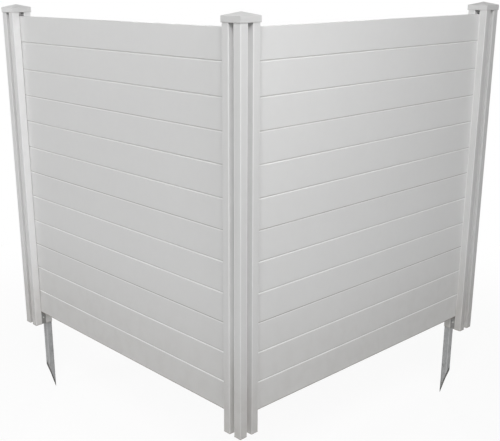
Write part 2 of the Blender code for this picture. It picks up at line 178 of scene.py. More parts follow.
class Finish:
    """A material or a world in the making, with one method that adds any node."""

    def __init__(self, name, shelf=bpy.data.materials, end="OutputMaterial"):
        self.material = shelf.new(name)
        self.material.use_nodes = True
        self.tree = self.material.node_tree
        self.tree.nodes.clear()
        self.output = self.tree.nodes.new("ShaderNode" + end)
        self.place = self.node("TexCoord", output="Object")

    def plug(self, value, socket):
        """Link a wire to a socket, or write a plain value into it."""
        if isinstance(value, Wire):
            self.tree.links.new(value.socket, socket)
        else:
            socket.default_value = value

    def node(self, kind, sockets=None, output=0, **settings):
        """Add one node: its settings first, then its sockets, by name or by number."""
        made = self.tree.nodes.new("ShaderNode" + kind)
        for name, value in settings.items():
            setattr(made, name, value)
        for name, value in (sockets or {}).items():
            self.plug(value, made.inputs[name])
        return Wire(self, made.outputs[output])

    def maths(self, operation, *values):
        """One Math node on numbers or wires."""
        return self.node("Math", dict(enumerate(values)), operation=operation)

    def stretched(self, scale):
        """The place on the piece, with each axis scaled by its own number."""
        return self.node(
            "VectorMath", {0: self.place, 1: scale}, operation="MULTIPLY")

    def axis(self, letter):
        """One coordinate of the place on the piece."""
        return self.node("SeparateXYZ", {0: self.place}, output=letter)

    def noise(self, scale, detail=2.0, where=None):
        """Soft noise from 0 to 1, with its grain given as cycles in a metre."""
        return self.node(
            "TexNoise", {"Vector": where or self.place, "Scale": scale, "Detail": detail},
            noise_dimensions="3D")

    def step(self, value, low, high):
        """0 below low, 1 above high and smooth in between; low may be the larger."""
        return self.node("MapRange", {0: value, 1: low, 2: high}, interpolation_type="SMOOTHSTEP")

    def tint(self, share, first, second, blend="MIX"):
        """A colour that goes from first to second as share goes from 0 to 1."""
        return self.node("Mix", {MIX_SHARE: share, MIX_FIRST: first, MIX_SECOND: second},
                         output=MIX_COLOUR, data_type="RGBA", blend_type=blend)

    def shaded(self, colour, factor):
        """A colour made darker or lighter by a number that may vary."""
        grey = self.node("CombineColor", {0: factor, 1: factor, 2: factor})
        return self.tint(1.0, colour, grey, "MULTIPLY")

    def bump(self, height, depth, under=None):
        """A normal from a height of 0 to 1 that stands for this depth in metres."""
        sockets = {"Height": height, "Distance": depth, "Strength": 1.0}
        if under:
            sockets["Normal"] = under
        return self.node("Bump", sockets)

    def shader(self, **sockets):
        """Finish with a Principled shader and return the material."""
        named = {name.replace("_", " "): value for name, value in sockets.items()}
        surface = self.node("BsdfPrincipled", named)
        self.plug(surface, self.output.inputs["Surface"])
        return self.material


print("a", Finish.__name__, "is written as a sum of", Wire.__name__, "values")

# %% [markdown]
# ## White vinyl, drawn through a die
#
# Posts and planks are one long profile pushed through a steel die, so their surface carries very
# fine lines along its length, and no texture across it. The vinyl itself is an even satin white.
# An image texture would fix its look at one resolution, while noise stretched along the profile
# stays sharp from any distance.
#
# Soil, dust, painted shade and painted light then draw what makes the boards readable from afar.
# They lie in bands at a known height or at a known distance from a post's middle, so each band is
# one smooth step, or two multiplied. Two of them are common to posts and planks: soil with painted
# shade darkens the surface towards the ground, and painted shade draws a thin dark line along a
# lowest edge.

# %% Soil with painted shade, and a painted shade line
PATCHES_PER_METRE = 22
PATCH_EDGE = (0.38, 0.72)             # the noise at which a patch starts, and is full
SOIL_AND_SHADE_EVEN_SHARE = 0.75                     # the rest of the soil and painted shade lies in patches
LOW_EDGE_SHADE_HEIGHT = 0.0045


def soil_and_foot_shade(finish, height):
    """How much soil and painted shade darken the surface, strongest at the foot."""
    low_mark = finish.step(finish.axis("Z"), height, foot_height)
    patches = finish.step(finish.noise(PATCHES_PER_METRE, detail=4.0), *PATCH_EDGE)
    return low_mark * (SOIL_AND_SHADE_EVEN_SHARE + (1.0 - SOIL_AND_SHADE_EVEN_SHARE) * patches)


def low_edge_shade(finish, low_edge):
    """Painted shade in a thin dark line along a lowest edge."""
    return finish.step(finish.axis("Z"), low_edge + LOW_EDGE_SHADE_HEIGHT, low_edge)


print(f"drips dry within {LOW_EDGE_SHADE_HEIGHT * MM:.1f} mm of a lowest edge")

# %% [markdown]
# ### Dust, painted shade and painted light on a wall
#
# Dust and painted shade darken what looks down: the upper side of each groove and the foot of
# each plank. Painted light keeps what looks up nearly pure white: the lower side of each groove
# and the top of each plank. Both grow towards the ground. What is left of a height after whole
# planks are taken away is the height on the plank that a point is on, so one pattern serves a
# whole wall.

# %% Dust, painted shade and painted light along the planks' lines
GROOVE_DUST_AND_SHADE_HEIGHT = 0.0036                # above a groove's line
GROOVE_LIGHT_DEPTH = 0.0030                 # below it
GROOVE_BLUR = 0.0008
JOINT_DUST_AND_SHADE = (0.0036, 0.0022)              # above the line where two planks meet: ends, is full
JOINT_LIGHT = (0.0045, 0.0025)              # below it
BANDS_TOP, BANDS_FOOT = 1.25, 0.10     # the heights between which the bands grow
GROOVE_DUST_AND_SHADE_SHARES = (0.24, 0.20)          # at the top, and what is added down to the foot
GROOVE_LIGHT_SHARES = (0.15, 0.85)
JOINT_DUST_AND_SHADE_SHARES = (0.48, 0.38)


def towards_ground(finish, shares):
    """A share that has one value at the caps and grows by another down to the feet."""
    lower_down = finish.step(finish.axis("Z"), BANDS_TOP, BANDS_FOOT)
    return shares[0] + shares[1] * lower_down


def plank_rise(finish):
    """Height above the foot of whichever plank a point is on."""
    return finish.maths("MODULO", finish.axis("Z") - plank_foot, plank_pitch)


def groove_band(finish, low, high):
    """1 from low to high round each groove's line, with soft ends, and 0 elsewhere."""
    rise = plank_rise(finish)
    first, second = (
        finish.step(rise - line, low - GROOVE_BLUR, low)
        * finish.step(rise - line, high + GROOVE_BLUR, high)
        for line in GROOVE_LINES)
    return first + second


def dust_and_shade_lines(finish):
    """Dust and painted shade on what looks down: each groove's upper side and the foot of each
    plank.
    """
    joint = finish.step(plank_rise(finish), *JOINT_DUST_AND_SHADE)
    groove = groove_band(finish, 0.0, GROOVE_DUST_AND_SHADE_HEIGHT)
    return (groove * towards_ground(finish, GROOVE_DUST_AND_SHADE_SHARES)
            + joint * towards_ground(finish, JOINT_DUST_AND_SHADE_SHARES))


def painted_light_lines(finish):
    """Painted light on what looks up: each groove's lower side and each plank's top."""
    joint = finish.step(plank_rise(finish), *(plank_pitch - depth for depth in JOINT_LIGHT))
    groove = groove_band(finish, -GROOVE_LIGHT_DEPTH, 0.0)
    return groove * towards_ground(finish, GROOVE_LIGHT_SHARES) + joint


print("lines on each plank:", len(GROOVE_LINES), "grooves and a joint")

# %% [markdown]
# ### Painted light on a post
#
# A painted highlight brightens the lips of a post's slots and its corners. Painted light makes the
# inside of the slots whiter, and the outer face of an end post on the side of its own wall. A post
# is alike on all four sides, so the smaller and the larger of a point's two distances from the
# post's middle are enough to tell slots, lips, faces and corners apart.

# %% Painted light and highlights on a post
HIGHLIGHT_WHITE = (0.930, 0.930, 0.928, 1)
LIP_INSIDE = (0.0085, 0.0102)              # from a post's middle: a slot's lip starts
LIP_OUTSIDE = (0.0142, 0.0122)             # and fades
POST_SKIN = (0.0345, 0.0366)               # and the outer face begins
CORNER_HIGHLIGHT = 0.6                          # corners get less painted highlight than lips
HIGHLIGHT_SHARE, HIGHLIGHT_IN_CLOUDS = 0.5, 0.3
SLOT_LIGHT_SHARES = (0.24, 0.22)           # at the top, and what is added down to the foot


def lip_highlights(finish, middle):
    """A painted highlight on a post's lips and corners, and each point's reach from its middle."""
    from_middle = finish.node("VectorMath", {0: finish.place, 1: middle}, operation="SUBTRACT")
    across, along = (
        finish.maths("ABSOLUTE", finish.node("SeparateXYZ", {0: from_middle}, output=letter))
        for letter in "XY")
    near, far = finish.maths("MINIMUM", across, along), finish.maths("MAXIMUM", across, along)
    lips = finish.step(near, *LIP_OUTSIDE) * finish.step(near, *LIP_INSIDE)
    corners = finish.step(near, *POST_SKIN)
    return lips * finish.step(far, *POST_SKIN) + CORNER_HIGHLIGHT * corners, far


def inner_side(finish, middle):
    """The outer skin of an end post on the side of its own wall."""
    letter, sense = ("X", 1.0) if middle.x < -middle.y else ("Y", -1.0)
    towards_corner = sense * (finish.axis(letter) - getattr(middle, letter.lower()))
    return finish.step(towards_corner, *POST_SKIN)


def post_painted_light(finish, colour, cloud, middle, lit_side_share):
    """A post's colour with painted light in its slots and on its lit side, and painted highlights.
    """
    lip_highlight, reach = lip_highlights(finish, middle)
    inside_skin = finish.step(reach, POST_SKIN[1], POST_SKIN[0])
    # Painted light inside the slots, more towards the foot.
    colour = finish.tint(
        inside_skin * towards_ground(finish, SLOT_LIGHT_SHARES), colour, HIGHLIGHT_WHITE)
    # Painted highlight on the lips and corners.
    colour = finish.tint(lip_highlight * (HIGHLIGHT_SHARE + HIGHLIGHT_IN_CLOUDS * cloud), colour, HIGHLIGHT_WHITE)
    # Painted light on an end post's side towards its own wall.
    return finish.tint(inner_side(finish, middle) * lit_side_share, colour, HIGHLIGHT_WHITE)


print(f"a slot's lips start {LIP_INSIDE[0] * MM:.1f} mm from a post's middle")

# %% [markdown]
# ### The extruded finish
#
# Faint clouds, mottling and die lines vary the white by a few hundredths. The bands above are laid
# over it in turn: soil, dust, painted shade and painted light. Clouds, lines and soil also dull the
# satin a little, and rubbed patches shine more. `along` names the axis that the profile was drawn
# along, `middle` is given for a post, and `grooved` is set for a plank.

# %% Extruded vinyl
SOIL_AND_SHADE_BROWN = (0.330, 0.290, 0.245, 1)
DUST_AND_SHADE_GREY = (0.360, 0.345, 0.325, 1)
LOW_EDGE_SHADE_SHARE = 0.65
DIE_LINES_PER_METRE = 700
DIE_STRETCH = 0.004
DIE_DEPTH = 0.000012
PEEL_PER_METRE = 260                       # the faint unevenness of cooled vinyl
PEEL_DEPTH = 0.000016
CLOUDS_PER_METRE = 5
MOTTLE_PER_METRE = 45
VINYL_LEVEL, CLOUD_SHADE, MOTTLE_SHADE, LINE_SHADE = 0.975, 0.022, 0.024, 0.010
DUST_AND_SHADE_SHARE, DUST_AND_SHADE_IN_MOTTLE = 0.7, 0.6
RUBS_PER_METRE = 9
RUB_STRETCH = (1.0, 1.0, 2.6)
RUB_EDGE = (0.55, 0.75)
VINYL_ROUGHNESS = 0.40
CLOUD_DULLS, LINES_DULL, RUBS_SHINE, SOIL_DULLS = 0.06, 0.05, 0.05, 0.22
VINYL_SHINE = 0.32                         # a satin skin reflects less than a polished one


def along_profile(along):
    """Scales that squeeze a pattern into lines along one axis."""
    return tuple(DIE_STRETCH if letter == along else 1.0 for letter in "XYZ")


def extruded_vinyl(name, white, along, soil_and_shade_height, soil_and_shade_share, low_edge,
                   grooved=False, middle=None, lit_side_share=0.0):
    """Satin white vinyl with die lines along one axis."""
    finish = Finish(name)
    lines = finish.noise(DIE_LINES_PER_METRE, where=finish.stretched(along_profile(along)))
    peel = finish.noise(PEEL_PER_METRE, detail=1.0)
    cloud = finish.noise(CLOUDS_PER_METRE, detail=3.0)
    mottle = finish.noise(MOTTLE_PER_METRE, detail=3.0)
    soil_and_shade = soil_and_foot_shade(finish, soil_and_shade_height)
    colour = finish.shaded(
        white, VINYL_LEVEL + CLOUD_SHADE * cloud + MOTTLE_SHADE * mottle + LINE_SHADE * lines)
    if middle:
        colour = post_painted_light(finish, colour, cloud, middle, lit_side_share)
    # Soil, with painted shade that darkens the vinyl towards its foot.
    colour = finish.tint(soil_and_shade * soil_and_shade_share, colour, SOIL_AND_SHADE_BROWN)
    if grooved:
        # Dust and painted shade on each groove's upper side and at each plank's foot.
        dust_and_shade = dust_and_shade_lines(finish) * (DUST_AND_SHADE_SHARE + DUST_AND_SHADE_IN_MOTTLE * mottle)
        colour = finish.tint(dust_and_shade, colour, DUST_AND_SHADE_GREY)
        # Painted light on each groove's lower side and each plank's top.
        colour = finish.tint(painted_light_lines(finish), colour, HIGHLIGHT_WHITE)
    # Painted shade along the lowest edge.
    colour = finish.tint(low_edge_shade(finish, low_edge) * LOW_EDGE_SHADE_SHARE, colour, SOIL_AND_SHADE_BROWN)
    rubs = finish.noise(RUBS_PER_METRE, detail=5.0, where=finish.stretched(RUB_STRETCH))
    rub = finish.step(rubs, *RUB_EDGE)
    rough = (VINYL_ROUGHNESS + CLOUD_DULLS * cloud + LINES_DULL * lines
             - RUBS_SHINE * rub + SOIL_DULLS * soil_and_shade)
    normal = finish.bump(peel, PEEL_DEPTH, finish.bump(lines, DIE_DEPTH))
    return finish.shader(Base_Color=colour, Roughness=rough, Normal=normal,
                         Specular_IOR_Level=VINYL_SHINE)


print(f"die lines: {DIE_LINES_PER_METRE} in a metre, {DIE_DEPTH * MM:.3f} mm deep")

# %% [markdown]
# Each post and each wall has its own white, set lighter or darker to paint the light that falls on
# it. The left post's side towards its wall gets much more painted light than the right post's. A
# post's foot stands in the soil and takes more of the soil and painted shade than a plank does.

# %% Vinyl for each post and each wall
# Each white is set lighter or darker to paint the light that falls on that piece.
POST_LIT_WHITES = {
    "corner_post": (0.734, 0.734, 0.730, 1),
    "left_post": (0.780, 0.780, 0.776, 1),
    "right_post": (0.665, 0.665, 0.660, 1),
}
# The walls' whites, too, paint the light that falls on each wall.
WALL_LIT_WHITES = {"left": (0.770, 0.770, 0.766, 1), "right": (0.790, 0.790, 0.786, 1)}
DRAWN_ALONG = {"left": "X", "right": "Y"}
# How much painted light lies on each end post's side towards its wall.
LIT_SIDE_SHARES = {"corner_post": 0.0, "left_post": 0.96, "right_post": 0.12}
POST_SOIL_AND_SHADE_HEIGHT, POST_SOIL_AND_SHADE_SHARE = 0.40, 0.34
PLANK_SOIL_AND_SHADE_HEIGHT, PLANK_SOIL_AND_SHADE_SHARE = 0.50, 0.22

post_vinyls = {
    node: extruded_vinyl(f"{node}_vinyl", white, "Z", POST_SOIL_AND_SHADE_HEIGHT, POST_SOIL_AND_SHADE_SHARE,
                         foot_height, middle=middle_of(node), lit_side_share=LIT_SIDE_SHARES[node])
    for node, white in POST_LIT_WHITES.items()}
plank_vinyls = {
    wall: extruded_vinyl(f"{wall}_plank_vinyl", white, DRAWN_ALONG[wall], PLANK_SOIL_AND_SHADE_HEIGHT,
                         PLANK_SOIL_AND_SHADE_SHARE, plank_foot, grooved=True)
    for wall, white in WALL_LIT_WHITES.items()}
for vinyl in (*post_vinyls.values(), *plank_vinyls.values()):
    print("extruded vinyl:", vinyl.name, len(vinyl.node_tree.nodes), "nodes")

# %% [markdown]
# ## White vinyl, moulded
#
# The caps come out of a mould, so they have no lines. Their skin is a fine even grain, a touch
# glossier than the extrusions. Rain leaves a little dust where it dries on the roof, and painted
# shade draws a dark line along the rim's lower edge. Each cap's white is set lighter or darker to
# paint the light that falls on it, so their whites differ a little more than those of the posts
# under them.

# %% Moulded vinyl for the caps
# Each cap's white is set lighter or darker to paint the light that falls on it.
CAP_LIT_WHITES = {
    "corner_cap": (0.690, 0.690, 0.686, 1),
    "left_cap": (0.840, 0.840, 0.836, 1),
    "right_cap": (0.670, 0.670, 0.666, 1),
}
VEIL_GREY = (0.640, 0.632, 0.615, 1)
CAP_GRAIN_PER_METRE = 1400
CAP_GRAIN_DEPTH = 0.000018
FLOW_PER_METRE = 30                        # the flow of the vinyl in its mould
SPOTS_PER_METRE = 120
SPOT_EDGE = (0.58, 0.74)
SPOT_SHARE = 0.08
RIM_SHADE_HEIGHT = 0.0022
RIM_SHADE_SHARE = 0.50
CAP_LEVEL, FLOW_SHADE = 0.980, 0.025
CAP_ROUGHNESS, FLOW_DULLS, SPOTS_DULL = 0.34, 0.06, 0.10


def moulded_cap_vinyl(name, white):
    """Satin white vinyl with a fine moulded grain."""
    finish = Finish(name)
    grain = finish.noise(CAP_GRAIN_PER_METRE)
    flow = finish.noise(FLOW_PER_METRE)
    spots = finish.step(finish.noise(SPOTS_PER_METRE, detail=4.0), *SPOT_EDGE)
    contact_shade = finish.step(finish.axis("Z"), rim_foot + RIM_SHADE_HEIGHT, rim_foot)
    colour = finish.shaded(white, CAP_LEVEL + FLOW_SHADE * flow)
    colour = finish.tint(SPOT_SHARE * spots, colour, VEIL_GREY)
    # Painted shade along the rim's lower edge.
    colour = finish.tint(RIM_SHADE_SHARE * contact_shade, colour, DUST_AND_SHADE_GREY)
    rough = CAP_ROUGHNESS + FLOW_DULLS * flow + SPOTS_DULL * spots
    return finish.shader(Base_Color=colour, Roughness=rough,
                         Normal=finish.bump(grain, CAP_GRAIN_DEPTH), Specular_IOR_Level=VINYL_SHINE)


cap_vinyls = {
    node: moulded_cap_vinyl(f"{node}_vinyl", white) for node, white in CAP_LIT_WHITES.items()}
print("moulded vinyl:", ", ".join(vinyl.name for vinyl in cap_vinyls.values()))

# %% [markdown]
# ## Grey vinyl for the slot spacers
#
# A spacer stands in the foot of each slot and holds the lowest plank off the ground. It is a plain
# grey block that nobody polishes, so it is matt, mottled and the first thing to catch soil. Its
# grey is kept dark, partly to paint the shade under the plank, and painted shade darkens its upper
# end further, where it meets the plank.

# %% Spacer vinyl
# A dark grey, partly to paint the shade under the plank.
SPACER_GREY = (0.330, 0.330, 0.322, 1)
SPACER_SOIL_AND_SHADE = (0.180, 0.172, 0.160, 1)
SPACER_SOIL_AND_SHADE_HEIGHT = 0.05
SPACER_SOIL_AND_SHADE_SHARE = 0.35
CONTACT_SHADE_DEPTH = 0.022
CONTACT_SHADE_SHARE = 0.80
GRIT_PER_METRE = 900
GRIT_DEPTH = 0.00004
BLOTCHES_PER_METRE = 140
SPACER_LEVEL, BLOTCH_SHADE = 0.92, 0.14
SPACER_ROUGHNESS, GRIT_DULLS, DAMP_SOIL_DULLS = 0.56, 0.10, 0.15


def spacer_finish(name):
    """Matt grey vinyl with soil and painted shade at its foot, and painted shade under the plank.
    """
    finish = Finish(name)
    grit = finish.noise(GRIT_PER_METRE, detail=3.0)
    blotches = finish.noise(BLOTCHES_PER_METRE, detail=3.0)
    soil_and_shade = soil_and_foot_shade(finish, SPACER_SOIL_AND_SHADE_HEIGHT)
    contact_shade = finish.step(finish.axis("Z"), plank_foot - CONTACT_SHADE_DEPTH, plank_foot)
    colour = finish.shaded(SPACER_GREY, SPACER_LEVEL + BLOTCH_SHADE * blotches)
    # Soil and painted shade at the foot, and painted shade under the plank.
    colour = finish.tint(soil_and_shade * SPACER_SOIL_AND_SHADE_SHARE + contact_shade * CONTACT_SHADE_SHARE, colour, SPACER_SOIL_AND_SHADE)
    rough = SPACER_ROUGHNESS + GRIT_DULLS * grit + DAMP_SOIL_DULLS * soil_and_shade
    return finish.shader(Base_Color=colour, Roughness=rough, Normal=finish.bump(grit, GRIT_DEPTH))


spacer_vinyl = spacer_finish("spacer_vinyl")
print("spacer vinyl:", spacer_vinyl.name)

# %% [markdown]
# ## Zinc on steel
#
# Hot zinc freezes on a steel angle in flat crystals, the spangle, each with its own tone. A
# Voronoi pattern gives such cells, and its colour output gives every cell one random number. Over
# them lie dull patches of zinc oxide, long scratches from the chamber that the stake slides in,
# and soil towards the point. The slanted foot was sawn after coating, so the cut shows bare steel,
# and the cut and a narrow band beside it are painted near-black as shade. A point's distance from
# the plane of the saw is one dot product, so the band follows the cut exactly, with nothing stored
# on the mesh. Painted shade also darkens the angle's two long edges, and a painted highlight lies
# along its heel, which the distance from those lines gives in the same way.

# %% Where a stake's zinc is cut, thick and worn
SAW_BAND = (0.0058, 0.0040)                # from the cut: where it ends, where it is full
HEEL_HIGHLIGHT_BAND = (0.0036, 0.0018)               # the same, from the heel
TOE_SHADE_BAND = (0.0032, 0.0012)                # and from the two free edges
SLANTED = 0.02                             # a face that leans more than this was sawn
LEVEL_ONLY = (1.0, 1.0, 0.0)
STAKES = ("left_stake", "right_stake")


def saw_plane(node):
    """The direction and the distance from the origin of the plane that cuts a stake's foot."""
    faces = [face for face in frame["nodes"][node].data.polygons
             if abs(face.normal.z) > SLANTED and face.center.z < foot_height]
    cut = max(faces, key=lambda face: face.area)
    return cut.normal.copy(), cut.normal.dot(cut.center)


def sawn_band(finish, node):
    """The band at and beside the saw cut: bare steel, painted near-black as shade."""
    direction, reach = saw_plane(node)
    along_cut = finish.node("VectorMath", {0: finish.place, 1: direction}, output="Value",
                            operation="DOT_PRODUCT")
    return finish.step(reach - along_cut, *SAW_BAND)


def near_upright(finish, x, y, band):
    """A band round the upright line through a point."""
    distance = finish.node("VectorMath", {0: finish.stretched(LEVEL_ONLY), 1: (x, y, 0.0)},
                           output="Value", operation="DISTANCE")
    return finish.step(distance, *band)


for node in STAKES:
    direction, reach = saw_plane(node)
    print(node, "is sawn across", [round(value, 3) for value in direction], f"at {reach:.3f} m")

# %% [markdown]
# Zinc is only half a metal to the eye: its oxide is a grey mineral, and soil hides it. So the
# metallic share itself varies, lower where oxide or soil lies.

# %% Galvanised angle
ZINC_PALE = (0.410, 0.414, 0.418, 1)
ZINC_DULL = (0.325, 0.328, 0.332, 1)
ZINC_HIGHLIGHT = (0.660, 0.664, 0.668, 1)
STEEL_SHADE = (0.070, 0.068, 0.066, 1)
SPANGLE_PER_METRE = 130
OXIDE_PER_METRE = 28
OXIDE_EDGE = (0.45, 0.70)
CRYSTAL_SHARE, OXIDE_SHARE = 0.55, 0.45
SCRATCH_PER_METRE = 900
SCRATCH_STRETCH = (1.0, 1.0, 0.006)
SCRATCH_EDGE = (0.60, 0.72)
SCRATCH_DEPTH = 0.00002
SCORED_LEVEL, SCORED_SHADE = 0.95, 0.10
HEEL_HIGHLIGHT_SHARE, TOE_SHADE_SHARE, CUT_SHADE_SHARE = 0.38, 0.45, 0.85
CLAY_TOP = -0.12                           # soil clings to a stake below this height
CLAY_PER_METRE = 40
CLAY_EDGE = (0.40, 0.70)
CLAY_SHARE = 0.22
ZINC_ROUGHNESS, CRYSTAL_DULLS, OXIDE_DULLS = 0.42, 0.10, 0.16
SCRATCH_SHINES, CUT_DULLS = 0.06, 0.12
ZINC_METAL, OXIDE_HIDES, CLAY_HIDES = 0.55, 0.20, 0.25
SKIN_PER_METRE = 220
SKIN_DEPTH = 0.00008


def galvanised(name, node):
    """Spangled zinc with oxide, scratches and soil, painted shade, and a painted highlight."""
    finish = Finish(name)
    low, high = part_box(node)
    heel_highlight = near_upright(finish, high.x, low.y, HEEL_HIGHLIGHT_BAND)
    toe_shade = (near_upright(finish, low.x, low.y, TOE_SHADE_BAND)
            + near_upright(finish, high.x, high.y, TOE_SHADE_BAND))
    cut = sawn_band(finish, node)
    cells = finish.node("TexVoronoi", {"Vector": finish.place, "Scale": SPANGLE_PER_METRE},
                        output="Color", feature="F1")
    crystal = finish.node("SeparateColor", {0: cells}, output=0)
    oxide = finish.step(finish.noise(OXIDE_PER_METRE, detail=5.0), *OXIDE_EDGE)
    scratches = finish.noise(SCRATCH_PER_METRE, where=finish.stretched(SCRATCH_STRETCH))
    scored = finish.step(scratches, *SCRATCH_EDGE)
    clay = (finish.step(finish.axis("Z"), CLAY_TOP, stake_tip)
            * finish.step(finish.noise(CLAY_PER_METRE, detail=5.0), *CLAY_EDGE))
    colour = finish.tint(CRYSTAL_SHARE * crystal + OXIDE_SHARE * oxide, ZINC_PALE, ZINC_DULL)
    colour = finish.shaded(colour, SCORED_LEVEL + SCORED_SHADE * scored)
    # Painted highlight along the heel.
    colour = finish.tint(HEEL_HIGHLIGHT_SHARE * heel_highlight, colour, ZINC_HIGHLIGHT)
    # Painted shade along the two free edges.
    colour = finish.tint(TOE_SHADE_SHARE * toe_shade, colour, STEEL_SHADE)
    # Bare steel at the saw cut, painted near-black as shade.
    colour = finish.tint(CUT_SHADE_SHARE * cut, colour, STEEL_SHADE)
    colour = finish.tint(CLAY_SHARE * clay, colour, SOIL_AND_SHADE_BROWN)
    rough = (ZINC_ROUGHNESS + CRYSTAL_DULLS * crystal + OXIDE_DULLS * oxide
             - SCRATCH_SHINES * scored + CUT_DULLS * cut)
    metal = ZINC_METAL - OXIDE_HIDES * oxide - CLAY_HIDES * clay
    skin = finish.bump(finish.noise(SKIN_PER_METRE, detail=3.0), SKIN_DEPTH,
                       finish.bump(scratches, SCRATCH_DEPTH))
    return finish.shader(Base_Color=colour, Roughness=rough, Metallic=metal, Normal=skin)


stake_zincs = {node: galvanised(f"{node}_zinc", node) for node in STAKES}
print("galvanised steel:", ", ".join(zinc.name for zinc in stake_zincs.values()))

# %% [markdown]
# ## Plated screws
#
# One short screw holds each spacer to the floor of its slot. Its zinc plate is thin, bright and
# even, unlike the hot zinc of the stakes, with fine turning marks and a first dull bloom. A metal
# needs little colour of its own, so only its shade and its roughness vary.

# %% Plated steel
PLATE_BRIGHT = (0.640, 0.640, 0.630, 1)
BLOOM_PER_METRE = 420
BLOOM_EDGE = (0.42, 0.68)
BLOOM_SHADE = 0.28
TURNING_PER_METRE = 2600
TURNING_DEPTH = 0.000008
PLATE_ROUGHNESS, BLOOM_DULLS, TURNING_DULLS = 0.26, 0.20, 0.06
PLATE_METAL = 0.95


def plated(name):
    """Bright plated steel with fine turning marks and a little tarnish."""
    finish = Finish(name)
    bloom = finish.step(finish.noise(BLOOM_PER_METRE, detail=4.0), *BLOOM_EDGE)
    turning = finish.noise(TURNING_PER_METRE)
    colour = finish.shaded(PLATE_BRIGHT, 1.0 - BLOOM_SHADE * bloom)
    rough = PLATE_ROUGHNESS + BLOOM_DULLS * bloom + TURNING_DULLS * turning
    return finish.shader(Base_Color=colour, Roughness=rough, Metallic=PLATE_METAL,
                         Normal=finish.bump(turning, TURNING_DEPTH))


screw_steel = plated("screw_steel")
print("plated steel:", screw_steel.name)

# %% [markdown]
# ## From the frame's solids to finished pieces
#
# A node of the frame arrives as loose triangles. That is fine for measuring and poor for looks:
# edges can't be bevelled and nothing can shade smoothly. So each node is copied, its doubles are
# merged and its flat faces made whole again. Then the edges that a hand or an eye would meet are
# bevelled a little, because nothing extruded or moulded has a truly sharp edge. The finished
# piece replaces its node in the picture and rides on the same body.

# %% Copy, soften and finish a node
SAME_PLACE = 0.00001
FLAT_ANGLE = math.radians(0.6)
SMOOTH_ANGLE = math.radians(33)
bodies = {node: body for body, nodes in frame["record"]["behaviour"]["bodies"].items()
          for node in nodes}


def merged_copy(node):
    """A working mesh of a node, with whole faces in place of loose triangles."""
    work = bmesh.new()
    work.from_mesh(frame["nodes"][node].data)
    bmesh.ops.remove_doubles(work, verts=work.verts, dist=SAME_PLACE)
    bmesh.ops.dissolve_limit(work, angle_limit=FLAT_ANGLE, verts=work.verts, edges=work.edges,
                             delimit={"NORMAL"})
    work.normal_update()
    return work


def soften(work, width, wanted, segments):
    """Bevel the edges for which wanted(edge) holds, and say how many there were."""
    edges = [edge for edge in work.edges if len(edge.link_faces) == 2 and wanted(edge)]
    bmesh.ops.bevel(work, geom=edges, offset=width, offset_type="OFFSET", segments=segments,
                    profile=0.5, affect="EDGES", clamp_overlap=True, material=-1)
    work.normal_update()
    return len(edges)


def finished(work, node, word, material):
    """Write the working mesh out as the piece that stands for a node."""
    data = bpy.data.meshes.new(f"{node}_{word}")
    work.to_mesh(data)
    work.free()
    data.materials.append(material)
    data.shade_smooth()
    data.set_sharp_from_angle(angle=SMOOTH_ANGLE)
    piece = bpy.data.objects.new(data.name, data)
    bpy.context.scene.collection.objects.link(piece)
    weighted = piece.modifiers.new("even flats", "WEIGHTED_NORMAL")
    weighted.keep_sharp = True
    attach(piece, bodies[node])
    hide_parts(node)
    return piece


print("bodies to ride on:", ", ".join(sorted(set(bodies.values()))))

# %% [markdown]
# ## Posts
#
# A post is one extrusion: a square with a slot in each side and a chamber in each corner. Its
# vertical edges are already rounded in the solid, so they only have to shade smoothly. The foot
# is a square saw cut, which stays crisp.

# %% Make the posts
for node, vinyl in post_vinyls.items():
    post = finished(merged_copy(node), node, "extrusion", vinyl)
    print(node, len(post.data.polygons), "faces")

# %% [markdown]
# ## Planks
#
# Each plank is a hollow extrusion with two V-grooves in each face, a tongue along its top and a
# matching groove under it. The light picks the grooves out: their upper side looks down and turns
# dark, and their lower side looks up and turns light. Where two planks meet, their outer faces
# turn in over a small rounding that the solid already has, which makes the joint a fine shadow
# line of its own.
#
# A bevel a third of a millimetre wide along all these creases gives the soft edge that hot vinyl
# leaves. A test picks the creases: the faces on both sides of one look outwards, and it turns
# sharply enough. The left wall's faces look along Y and the right wall's along X, so the test is
# made for one axis at a time.

# %% Make the planks
PLANK_EDGE = 0.00035
OUTWARD_ENOUGH = 0.3
CREASE = math.radians(28)
FACES_LOOK_ALONG = {"left": 1, "right": 0}     # axis numbers: X is 0 and Y is 1


def outer_crease(across):
    """A test for creases whose two faces both look outwards from the wall's middle."""
    def wanted(edge):
        side = 1 if edge.verts[0].co[across] > 0 else -1
        outward = all(face.normal[across] * side > OUTWARD_ENOUGH for face in edge.link_faces)
        return outward and edge.calc_face_angle(0) > CREASE
    return wanted


for wall, across in FACES_LOOK_ALONG.items():
    for level in ("bottom", "lower", "upper", "top"):
        node = f"{wall}_plank_{level}"
        work = merged_copy(node)
        softened = soften(work, PLANK_EDGE, outer_crease(across), segments=2)
        plank = finished(work, node, "board", plank_vinyls[wall])
        print(node, softened, "creases softened,", len(plank.data.polygons), "faces")

# %% [markdown]
# ## Caps
#
# A cap is moulded in one go: a rim that hangs over the post, a low pyramid roof, and four plugs
# under it that push into the post's corner chambers. Moulded edges always have a radius, so the
# rim's corners, the eaves and the four hips are bevelled with three segments.

# %% Make the caps
CAP_EDGE = 0.0005
CAP_CREASE = math.radians(8)
UNDERSIDE = -0.1                           # a face that looks down more than this is hidden


def cap_edge(middle):
    """A test for edges whose two faces both look away from the cap's middle, or up."""
    def wanted(edge):
        towards = (edge.verts[0].co + edge.verts[1].co) / 2 - middle
        towards.z = 0.0
        outward = all(face.normal.dot(towards) > -SAME_PLACE and face.normal.z > UNDERSIDE
                      for face in edge.link_faces)
        return outward and edge.calc_face_angle(0) >= CAP_CREASE
    return wanted


